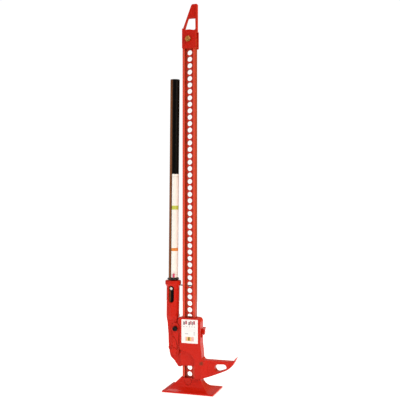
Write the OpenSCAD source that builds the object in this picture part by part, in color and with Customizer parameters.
/* [Rack bar] */
// Width of the bar across its two flanges
bar_w = 43; // [42:0.5:43.5]
// Depth of the bar from front to back
bar_d = 20; // [19:0.5:20.5]
// Thickness of each flange
flange_t = 8; // [6:0.5:9]
// Thickness of the web that carries the holes
web_t = 6.5; // [5:0.5:7]
// Distance from one hole to the next
hole_pitch = 20.6375; // [20.6:0.0125:20.7]
// Radius of the holes
hole_r = 8.25; // [8.1:0.05:8.4]
// Height of the lowest hole above the ground
first_hole_z = 30.3625; // [30.3:0.0125:30.4]
// Number of holes up the bar
hole_count = 54; // [44:1:60]

/* [Base plate] */
// Length of the plate, along the nose
base_l = 170; // [160:1:180]
// Width of the plate, front to back
base_w = 112; // [104:1:120]
// Thickness of the plate
base_t = 5; // [4:0.5:6]
// How far the plate is set towards the nose
base_shift = 9; // [4:1:12]

/* [Runners] */
// Free space between a runner and the bar on each side
bar_gap = 0.4; // [0.3:0.05:0.5]
// Height of the top of the nose above the ground
nose_z = 101; // [99:1:103]
// Half the depth of the nose, front to back
nose_y = 12.5; // [11:0.5:14]
// Height of the large runner's top
runner_top = 233.5; // [232:0.5:236]
// Radius of the climbing pins
pin_r = 7.7; // [7.4:0.1:7.8]

/* [Handle] */
// Radius of the handle tube
tube_r = 15; // [14:0.25:15]
// Height of the handle's top end
tube_top = 999; // [960:1:1040]
// Angle at which the handle leans towards the bar
handle_lean = 0.6; // [0.4:0.1:0.8]
// Distance from the pivot to the crank pins
crank_r = 14.04; // [14:0.01:14.1]

/* [Hidden] */
$fn = 64;
red = [0.83, 0.18, 0.15];
black = [0.08, 0.08, 0.09];
zinc = [0.75, 0.72, 0.62];
steel = [0.45, 0.45, 0.46];
white = [0.95, 0.95, 0.92];

half_w = bar_w / 2;
half_d = bar_d / 2;
half_web = web_t / 2;
cave_x = half_w + bar_gap;
cave_y = half_d + bar_gap;
bolt_hole_z = first_hole_z + hole_pitch * (hole_count - 1);
bar_top = bolt_hole_z + 9.85;
bar_chamfer = 4;
lower_pin_z = first_hole_z + 3 * hole_pitch;
upper_pin_z = first_hole_z + 8 * hole_pitch;

// Front and back faces of the layers, counted outwards from the bar's middle plane
arm_y = 8.5;
cheek_in = 9;
cheek_out = 14.5;
collar_y = 15;
wall_y = 16;
link_in = 15;
link_out = 20;
plate_out = 22;

// Handle pivot, crank pin and shear bolt, as [x, z]
pivot = [-56, 136];
crank_angle = -52;
crank = [pivot[0] + crank_r * cos(crank_angle), pivot[1] + crank_r * sin(crank_angle)];
shear = [-43, 198];
shear_r = 5;
crank_pin_r = 5;
lug_r = 12;
pivot_r = 6;

// Climbing pins: they lie along Y behind the bar, drawn back clear of the web
pin_tip = 3.6;
pin_tail = 41;
cross_y = 36;
cross_r = 2.2;
pin_stroke = 11;
housing_r = 13;
housing_end = 51;
pin_bore_r = pin_r + 0.3;

// Reversing latch pivot, as [y, z]
latch_at = [8, 187];
latch_in = 38.8;
latch_out = 43;
latch_hub = 46.2;

// Handle axis: it passes through this point and leans towards the bar
axis_x = -57.5;
axis_z = 300;
tube_bottom = 250;
socket_r = 21;
socket_top = 351;
label_low = 361;
label_high = 694;

// Clevis
clevis_in = 10.4;
clevis_out = 15.5;
clevis_body = 6.5;
clevis_relief = 23.2;
clevis_bolt_r = 6.2;

// Rod along Y
module rod_y(r, from, to) {
    translate([0, from, 0]) rotate([-90, 0, 0]) cylinder(r = r, h = to - from);
}

// Rod along X
module rod_x(r, from, to) {
    translate([from, 0, 0]) rotate([0, 90, 0]) cylinder(r = r, h = to - from);
}

// Plate drawn in X and Z, between two Y planes
module plate_y(from, to) {
    translate([0, to, 0]) rotate([90, 0, 0]) linear_extrude(to - from) children();
}

// Plate drawn in Y and Z, between two X planes
module plate_x(from, to) {
    translate([from, 0, 0]) rotate([90, 0, 90]) linear_extrude(to - from) children();
}

// Hexagonal head or nut along Y, by its width across flats
module hex_y(flats, from, to) {
    translate([0, from, 0]) rotate([-90, 0, 0]) cylinder(r = flats / sqrt(3), h = to - from, $fn = 6);
}

// Box by its low and high corners
module block(low, high) {
    translate(low) cube(high - low);
}

// Places things on the leaning axis of the handle, with height measured from the ground
module on_handle() {
    translate([axis_x, 0, axis_z]) rotate([0, handle_lean, 0]) translate([0, 0, -axis_z]) children();
}

// Straight piece of wire between two points
module wire(a, b, r) {
    d = b - a;
    translate(a) rotate([0, acos(d[2] / norm(d)), atan2(d[1], d[0])]) cylinder(r = r, h = norm(d));
}

// The same, run on past both its ends so that it joins the next piece
module lapped_wire(a, b, r) {
    lap = (b - a) / norm(b - a) * 1.1;
    wire(a - lap, b + lap, r);
}

function arc(centre, r, from, to, steps) =
    [for (i = [0:steps]) let (a = from + (to - from) * i / steps) centre + r * [cos(a), sin(a)]];

// ---- Bar ----

module bar_section() {
    difference() {
        square([bar_w, bar_d], center = true);
        for (side = [-1, 1])
            translate([0, side * (half_web + half_d)])
                square([bar_w - 2 * flange_t, bar_d], center = true);
    }
}

module steel_standard() {
    color(red)
    difference() {
        translate([0, 0, base_t]) linear_extrude(bar_top - base_t) bar_section();
        for (i = [0:hole_count - 1])
            translate([0, 0, first_hole_z + hole_pitch * i]) rod_y(hole_r, -half_d, half_d);
        for (side = [-1, 1])
            plate_y(-half_d - 1, half_d + 1)
                polygon([
                    [side * (half_w - bar_chamfer), bar_top + 1],
                    [side * (half_w - bar_chamfer), bar_top],
                    [side * half_w, bar_top - bar_chamfer],
                    [side * (half_w + 1), bar_top - bar_chamfer],
                    [side * (half_w + 1), bar_top + 1]
                ]);
    }
}

// ---- Base ----

tower_top = 39.5;
tower_front = 41;
flare_r = 45.3;
flare_x = 84;

module tower_profile() {
    polygon(concat(
        [[-63, base_t - 1], [-63, base_t], [-24, 44], [-cave_x, 44], [-cave_x, tower_front],
         [cave_x, tower_front], [cave_x, tower_top], [37, tower_top]],
        arc([flare_x, base_t + flare_r], flare_r, 193, 270, 10),
        [[flare_x, base_t - 1]]
    ));
}

module tower_side() {
    polygon([[-50, base_t - 1], [-50, base_t], [-38, 8], [-26, 15], [-19, 24], [-wall_y, 34], [-wall_y, 60],
             [wall_y, 60], [wall_y, 34], [19, 24], [26, 15], [38, 8], [50, base_t], [50, base_t - 1]]);
}

module base_plate() {
    x0 = base_shift - base_l / 2;
    x1 = base_shift + base_l / 2;
    color(red)
    difference() {
        union() {
            block([x0, -base_w / 2, 0], [x1, base_w / 2, base_t]);
            intersection() {
                plate_y(-60, 60) tower_profile();
                plate_x(x0, x1) tower_side();
            }
        }
        block([-cave_x, -cave_y, base_t], [cave_x, cave_y, 60]);
        translate([0, 0, first_hole_z]) {
            rod_y(8.1, -30, 30);
            rod_y(11, -60, -wall_y);
        }
    }
}

module base_pin() {
    color(red)
    translate([0, 0, first_hole_z])
    difference() {
        union() {
            rod_y(7.9, -wall_y, wall_y + 7);
            rod_y(10.5, -wall_y - 3, -wall_y);
        }
        rod_y(4, -wall_y - 4, -wall_y - 2);
        translate([0, wall_y + 4, 0]) rod_x(1.6, -12, 12);
    }
}

module base_pin_clip() {
    color(zinc)
    translate([0, wall_y + 4, first_hole_z]) rod_x(1.6, -12, 12);
}

// ---- Top clevis ----

clevis_low = 1094.5;
shoulder = 1151;
// Underside of the bridge between the legs, high enough to clear the bar when the clevis is turned
bridge_z = 1146.5;

module clevis_outline() {
    polygon([[-20.5, bridge_z], [-21.5, 1159], [6.4, 1232.6], [8.2, 1235], [11, 1236.4],
             [24.8, 1236.4], [25.6, 1235.6], [25.6, bridge_z]]);
}

module eye_outline() {
    polygon(concat(
        arc([-11.8, 1159], 4.5, 270, 163, 4),
        arc([-2.2, 1188.3], 4.5, 160, 90, 4),
        arc([15.7, 1188.3], 4.5, 90, 0, 4),
        arc([16.2, 1159], 4.5, 0, -90, 4)
    ));
}

module top_clamp_clevis() {
    color(red)
    difference() {
        union() {
            for (side = [-1, 1])
                translate([0, side * (clevis_in + clevis_out) / 2, 0])
                    plate_y((clevis_in - clevis_out) / 2, (clevis_out - clevis_in) / 2)
                        polygon([[-21.5, clevis_low + 2], [-21.5, 1157], [-19.5, 1159], [23, shoulder],
                                 [25.4, 1149], [25.4, clevis_low + 2], [23.4, clevis_low],
                                 [-19.5, clevis_low]]);
            plate_y(-clevis_in - 0.5, clevis_in + 0.5)
                polygon([[-20, bridge_z], [-20, shoulder], [24, shoulder], [24, bridge_z]]);
            plate_y(-clevis_body, clevis_body) clevis_outline();
        }
        translate([0, 0, bolt_hole_z]) rod_y(clevis_relief, -clevis_in, clevis_in);
        translate([0, 0, bolt_hole_z]) rod_y(clevis_bolt_r + 0.1, -30, 30);
        translate([0, 0, bolt_hole_z]) hex_y(19.4, clevis_out - 4.2, clevis_out + 1);
        plate_y(-30, 30) eye_outline();
        for (side = [-1, 1])
            translate([0, side * (clevis_body + 1.8), 0])
                plate_y(-3, 3)
                    polygon([[1.5, 1198], [12.4, 1229], [20.2, 1229], [20.2, 1198]]);
    }
}

module clevis_bolt() {
    color(zinc)
    translate([0, 0, bolt_hole_z]) {
        rod_y(clevis_bolt_r, -clevis_out - 0.5, clevis_out - 0.2);
        hex_y(17, -clevis_out - 6.5, -clevis_out);
    }
}

module clevis_nut() {
    color(zinc)
    translate([0, 0, bolt_hole_z])
    difference() {
        hex_y(19, clevis_out - 4.2, clevis_out);
        rod_y(clevis_bolt_r, 0, 30);
    }
}

// ---- Small runner ----

module pin_housing(z, from) {
    translate([0, 0, z])
    difference() {
        rod_y(housing_r, from, housing_end);
        block([-30, cross_y - pin_stroke, -cross_r - 0.4], [30, cross_y, cross_r + 0.4]);
        for (y = [cross_y - pin_stroke, cross_y])
            translate([0, y, 0]) rod_x(cross_r + 0.4, -30, 30);
    }
}

module small_runner() {
    color(red)
    difference() {
        union() {
            block([-27, -collar_y, 80], [27.5, collar_y, 128]);
            plate_y(-arm_y, arm_y)
                polygon([[-26, 80], [-27, 74], [-35.5, 74], [-38, 76], [-49.5, 92], [-63, 105], [-67.2, 120],
                         [-67.4, 131], [-62, 144], [-50, 147], [-26, 128]]);
            plate_y(-arm_y, arm_y) translate(pivot) circle(r = 11.5);
            pin_housing(lower_pin_z, collar_y - 1);
        }
        block([-cave_x, -cave_y, 70], [cave_x, cave_y, 140]);
        translate([0, 0, lower_pin_z]) rod_y(pin_bore_r, 0, 60);
        translate([pivot[0], 0, pivot[1]]) rod_y(pivot_r, -20, 20);
    }
}

module handle_pivot_pin() {
    color(steel)
    translate([pivot[0], 0, pivot[1]]) rod_y(pivot_r, -cheek_out - 0.2, cheek_out + 0.2);
}

// Coil along Y, drawn as its separate turns
module coil_y(z) {
    color(steel)
    for (i = [0:3])
        translate([0, pin_tail + 1.3 + i * 2.45, z]) rotate([-90, 0, 0])
            rotate_extrude() translate([5.6, 0]) circle(r = 1.15, $fn = 24);
}

module pin_cap(z) {
    color(red)
    translate([0, 0, z]) {
        rod_y(10.5, housing_end, housing_end + 3.5);
        rod_y(4, housing_end - 3, housing_end);
    }
}

// Climbing pin: its nose is cut to a slope on the underside, and it is drilled for the cross pin
module climbing_pin(z) {
    color(steel)
    translate([0, 0, z])
    difference() {
        rod_y(pin_r, pin_tip, pin_tail);
        translate([0, cross_y, 0]) rod_x(cross_r, -20, 20);
        plate_x(-20, 20) polygon([[pin_tip - 1, -9], [pin_tip - 1, -2], [pin_tip, -2], [pin_tip + 6, -9]]);
    }
}

module cross_pin(z, to) {
    color(steel)
    translate([0, cross_y, z]) rod_x(cross_r, -18, to);
}

// ---- Large runner ----

heel_z = 40;
front_edge = 42;
back_edge = 38.4;

// Right-hand side of a side plate, from the nose's root up to the rounded top corner
function flank(edge) = concat(
    [[edge + 4, 42], [edge + 4.5, 104], [edge + 3, 128], [edge, 150]],
    arc([edge - 12, runner_top - 12], 12, 0, 90, 6)
);

module front_outline() {
    polygon(concat([[22, heel_z], [36, heel_z]], flank(front_edge),
        [[-32.5, runner_top], [-32.5, 214], [-29, 212], [-29, 131.5], [-17, 128.5], [-6, 125.6],
         [10.5, 119.5], [22, 100]]));
}

module back_outline() {
    polygon(concat([[16, heel_z], [36, heel_z]], flank(back_edge),
        [[-32.5, runner_top], [-32.5, 214], [-29, 212], [-29, 131.5], [-17, 128.5], [-16, 122],
         [14, 112], [16, 108]]));
}

module nose_outline() {
    polygon([
        [34, heel_z], [36, heel_z], [46, 42], [65, 47.5], [92.5, 58.3], [119.5, 70], [129, 75], [137, 81],
        [145, 90], [151, 100], [156.5, 112], [155.6, 113.8], [153, 111.8], [147.5, nose_z + 1.6],
        [143, nose_z], [49.5, nose_z], [47.8, nose_z + 0.6], [46.8, nose_z + 1.8],
        [46.4, nose_z + 3.5], [34, nose_z + 3.5]
    ]);
}

// Seen from above: the nose is as deep as the runner at its root, and then narrows
module nose_plan() {
    polygon([[34, -plate_out], [front_edge + 2, -plate_out], [62, -nose_y], [170, -nose_y],
             [170, nose_y], [58, nose_y], [back_edge + 2, plate_out], [34, plate_out]]);
}

module nose_slot() {
    translate([97.5, 78.3]) circle(r = 11.6);
    translate([115.5, 82]) circle(r = 8.9);
    polygon([[97, 89.9], [115.1, 90.9], [118.1, 73.5], [101, 67.3]]);
}

// Shallow recess in each side of the nose, which leaves a raised rim
module nose_panel() {
    polygon([[68, 95], [139, 95], [136, 88.5], [131, 83], [118, 75.5], [91, 63.5], [68, 54.5]]);
}

module large_runner() {
    color(red)
    difference() {
        union() {
            plate_y(-plate_out, -wall_y) front_outline();
            plate_y(wall_y, plate_out) back_outline();
            plate_y(-wall_y, wall_y)
                polygon(concat([[-27, 150], [back_edge, 150]],
                    arc([back_edge - 12, runner_top - 12], 12, 0, 90, 6), [[-27, runner_top]]));
            plate_y(-wall_y, wall_y)
                polygon([[28, 46], [36, 46], [36, 92], [back_edge + 4.5, 92], [back_edge + 4.5, 104],
                         [back_edge + 3, 128], [back_edge, 151], [28, 151]]);
            block([cave_x, -wall_y, heel_z], [36, wall_y, 50]);
            intersection() {
                plate_y(-plate_out, plate_out) nose_outline();
                linear_extrude(200) nose_plan();
            }
            plate_y(-arm_y + 0.5, arm_y - 0.5)
                polygon([[-26, 150], [-37.5, 160], [-37.5, 227], [-34, runner_top], [-26, runner_top]]);
            plate_y(-cheek_out, cheek_out) {
                translate(shear) circle(r = lug_r);
                polygon([[-43, 186], [-31.8, 180], [-31.8, 152], [-26, 152], [-26, 230], [-37.5, 226],
                         [-37.5, 212.5], [-46.5, 212.5], [-52, 206], [-43, 198]]);
            }
            pin_housing(upper_pin_z, plate_out - 1);
        }
        block([-cave_x, -cave_y, heel_z - 5], [cave_x, cave_y, runner_top + 5]);
        translate([0, 0, upper_pin_z]) rod_y(pin_bore_r, 0, 60);
        translate([shear[0], 0, shear[1]]) rod_y(shear_r, -20, 20);
        plate_y(-30, 30) nose_slot();
        plate_y(-nose_y - 1, -nose_y + 1.2) nose_panel();
        plate_y(nose_y - 1.2, nose_y + 1) nose_panel();
        translate([0, latch_at[0], latch_at[1]]) {
            rod_x(4, 26, 60);
            rod_x(8.5, 30, 60);
        }
    }
}

module shear_bolt() {
    color(black)
    translate([shear[0], 0, shear[1]]) {
        rod_y(shear_r, -link_out - 1, link_out + 7);
        hex_y(15, -link_out - 6, -link_out - 0.4);
    }
}

module shear_nut() {
    color(zinc)
    translate([shear[0], 0, shear[1]])
    difference() {
        hex_y(16, link_out + 0.4, link_out + 6.4);
        rod_y(shear_r, 0, 40);
    }
}

module runner_label() {
    color(white)
    block([-21, -plate_out - 0.3, 154], [33.8, -plate_out, 229.5]);
}

module latch_pin() {
    color(steel)
    translate([0, latch_at[0], latch_at[1]]) {
        rod_x(4, 26, latch_hub + 1);
        rod_x(6.5, latch_hub + 0.3, latch_hub + 1.9);
    }
}

module latch_spring() {
    color(steel)
    translate([0, latch_at[0], latch_at[1]])
    for (i = [0:2])
        translate([31.4 + i * 2.4, 0, 0]) rotate([0, 90, 0])
            rotate_extrude() translate([6, 0]) circle(r = 1.1, $fn = 24);
}

// ---- Pitmans and latch ----

module pitman() {
    slot_l = 5;
    slot_r = crank_pin_r + 1.15;
    difference() {
        union() {
            polygon([shear + [11, 0], shear + [11, 13], shear + [5, 17.5], shear + [-5, 17.5],
                     shear + [-11, 13], shear + [-11, 0]]);
            translate(shear) circle(r = 12.5);
            translate(crank) circle(r = 11.5);
            translate(crank + [slot_l, 0]) circle(r = 11.5);
            polygon([crank + [0, -11.5], crank + [slot_l, -11.5], crank + [slot_l + 11.4, 2],
                     [-31.5, 150], [-31.8, 175], shear + [12, -3.5], shear + [-11.5, -5],
                     [-52, 178], [-51, 150], crank + [-6, 9.8]]);
        }
        translate(shear) circle(r = shear_r + 0.08);
        translate(crank) circle(r = slot_r);
        translate(crank + [slot_l, 0]) circle(r = slot_r);
        translate(crank + [0, -slot_r]) square([slot_l, 2 * slot_r]);
    }
}

// Curved groove across the outer face of each pitman
seam_depth = 2.4;

module seam() {
    polygon([[-58, 178.4], [-51.5, 177.2], [-46, 173.2], [-41, 166.2], [-37.2, 157.2], [-34.6, 145],
             [-33.6, 131], [-37.4, 131], [-38.4, 144.2], [-40.8, 155.4], [-44.2, 163.4], [-48.5, 169.6],
             [-52.8, 173.2], [-58, 174.4]]);
}

module front_pitman() {
    color(red)
    difference() {
        plate_y(-link_out, -link_in) pitman();
        plate_y(-link_out - 1, -link_out + seam_depth) seam();
    }
}

module rear_pitman() {
    color(red)
    difference() {
        plate_y(link_in, link_out) pitman();
        plate_y(link_out - seam_depth, link_out + 1) seam();
    }
}

module reversing_latch() {
    color(red)
    difference() {
        union() {
            plate_x(latch_in, latch_out) {
                translate(latch_at) circle(r = 9.5);
                polygon([latch_at + [0, -6], latch_at + [15, -1], [31.5, 190], [31.5, 196],
                         latch_at + [14, 8.5], latch_at + [0, 9.4]]);
                polygon([latch_at + [-4, -8.6], latch_at + [-9, 3], [-8.5, 181.5], [-6, 172]]);
            }
            translate([0, latch_at[0], latch_at[1]]) rod_x(9.5, latch_in, latch_hub);
            translate([0, -6, 177.4]) rod_x(6, latch_in, latch_out + 2);
        }
        translate([0, latch_at[0], latch_at[1]]) rod_x(4.08, 30, 70);
    }
}

// ---- Handle ----

module cheek_outline() {
    polygon([[-71.5, 216], [-71.5, 210], [-69, 181], [-67.8, 143], [-58, 124],
             crank + [-3, -8.4], crank + [4, -7.9], [-35.5, 124], [-34, 132], [-34.6, 143], [-37, 155],
             [-40, 164], [-44.5, 171], [-50, 175.5],
             [-56.5, 177.5], [-55.6, 216]]);
    translate(pivot) circle(r = 12.5);
    translate(crank) circle(r = 9);
}

module handle_socket() {
    color(red)
    difference() {
        union() {
            for (side = [-1, 1])
                translate([0, side * (cheek_in + cheek_out) / 2, 0])
                    plate_y((cheek_in - cheek_out) / 2, (cheek_out - cheek_in) / 2) cheek_outline();
            intersection() {
                plate_y(-30, 30)
                    polygon([[-71.5, 213.5], [-73, 222], [-75, 233], [-70, 252],
                             [-46, 252], [-39.8, 238], [-39.8, 213.5]]);
                plate_x(-90, -30)
                    polygon([[-cheek_out, 213.5], [-cheek_out, 230], [-16.5, 238], [-12, 252],
                             [12, 252], [16.5, 238], [cheek_out, 230], [cheek_out, 213.5]]);
            }
            on_handle()
                rotate_extrude()
                    polygon([[0, 226], [17, 226], [socket_r, 235], [socket_r, 330], [25.7, 339],
                             [25.7, 348.5], [23.4, socket_top], [0, socket_top]]);
        }
        on_handle() {
            translate([0, 0, tube_bottom]) cylinder(r = tube_r + 0.3, h = 200);
            plate_y(-40, 0) {
                translate([0, 326]) circle(r = 9);
                translate([0, 289]) circle(r = 9);
                translate([-9, 289]) square([18, 37]);
            }
        }
        on_handle() translate([0, 0, 325.5]) rod_y(3.2, 0, 40);
        translate([pivot[0], 0, pivot[1]]) rod_y(pivot_r + 0.08, -20, 20);
        translate([crank[0], 0, crank[1]]) rod_y(crank_pin_r, -20, 20);
    }
}

module handle_tube() {
    color(black)
    on_handle()
    difference() {
        translate([0, 0, tube_bottom + 0.3]) cylinder(r = tube_r, h = tube_top - tube_bottom - 0.3);
        translate([0, 0, tube_bottom]) cylinder(r = tube_r - 2.6, h = tube_top - tube_bottom + 1);
        translate([0, 0, 325.5]) rod_y(3.2, -40, 40);
    }
}

module handle_bolt() {
    color(zinc)
    on_handle() translate([0, 0, 325.5]) {
        rod_y(3, -tube_r - 1, 32);
        rod_y(4.6, -tube_r - 3.4, -tube_r);
    }
}

module handle_nut() {
    color(zinc)
    on_handle() translate([0, 0, 325.5])
    difference() {
        hex_y(10, socket_r + 0.4, socket_r + 5.6);
        rod_y(3, 0, 60);
    }
}

// Sticker wrapped over the right-hand side of the tube
module handle_label() {
    color(white)
    on_handle() translate([0, 0, label_low]) rotate([0, 0, -96])
        rotate_extrude(angle = 206) translate([tube_r + 0.02, 0]) square([0.3, label_high - label_low]);
}

module pitman_pins() {
    color(steel)
    translate([crank[0], 0, crank[1]])
    for (side = [-1, 1])
        scale([1, side, 1]) {
            rod_y(crank_pin_r, cheek_in, link_out + 1);
            rod_y(10.5, link_out + 0.6, link_out + 2.4);
        }
}

// ---- Handle clip ----

clip_z = 356;
clip_wire_r = 2;

clip_ring_r = tube_r + 2.2;
// Corners of the arm that reaches behind the bar, and ends of the upright finger tab
arm_start = [clip_ring_r * cos(78), clip_ring_r * sin(78), clip_z];
arm_side = [6, 28.4, clip_z];
arm_bend = [6, 28.4, 333];
arm_knee = [26, 20.6, 333];
arm_end = [58, 20.6, 333];
arm_tip = [63, 20.6, 339];
tab_foot = [clip_ring_r * cos(-66), clip_ring_r * sin(-66), clip_z - 1];
tab_top = tab_foot + [1, -3, 19];
arm_r = clip_wire_r - 0.1;

module handle_clip() {
    color(black)
    on_handle() {
        translate([0, 0, clip_z])
            rotate_extrude() translate([clip_ring_r, 0]) circle(r = clip_wire_r);
        lapped_wire(arm_start, arm_side, arm_r);
        lapped_wire(arm_bend, arm_side, arm_r - 0.05);
        lapped_wire(arm_bend, arm_knee, arm_r - 0.1);
        lapped_wire(arm_knee, arm_end, arm_r - 0.05);
        lapped_wire(arm_end, arm_tip, arm_r - 0.1);
        wire(tab_foot, tab_top, arm_r);
    }
}

module clip_sleeve() {
    sleeve_low = tab_foot + (tab_top - tab_foot) * 0.4;
    color([0.75, 0.05, 0.2])
    on_handle()
    difference() {
        wire(sleeve_low, tab_top, 3.2);
        wire(tab_foot, tab_top, arm_r);
    }
}

steel_standard();
base_plate();
base_pin();
base_pin_clip();
top_clamp_clevis();
clevis_bolt();
clevis_nut();
small_runner();
handle_pivot_pin();
coil_y(lower_pin_z);  // lower_pin_spring
pin_cap(lower_pin_z);  // lower_pin_cap
climbing_pin(lower_pin_z);  // lower_climbing_pin
cross_pin(lower_pin_z, 18);  // lower_cross_pin
large_runner();
shear_bolt();
shear_nut();
runner_label();
latch_pin();
latch_spring();
coil_y(upper_pin_z);  // upper_pin_spring
pin_cap(upper_pin_z);  // upper_pin_cap
climbing_pin(upper_pin_z);  // upper_climbing_pin
cross_pin(upper_pin_z, latch_out - 0.6);  // upper_cross_pin
front_pitman();
rear_pitman();
reversing_latch();
handle_socket();
handle_tube();
handle_bolt();
handle_nut();
handle_label();
pitman_pins();
handle_clip();
clip_sleeve();
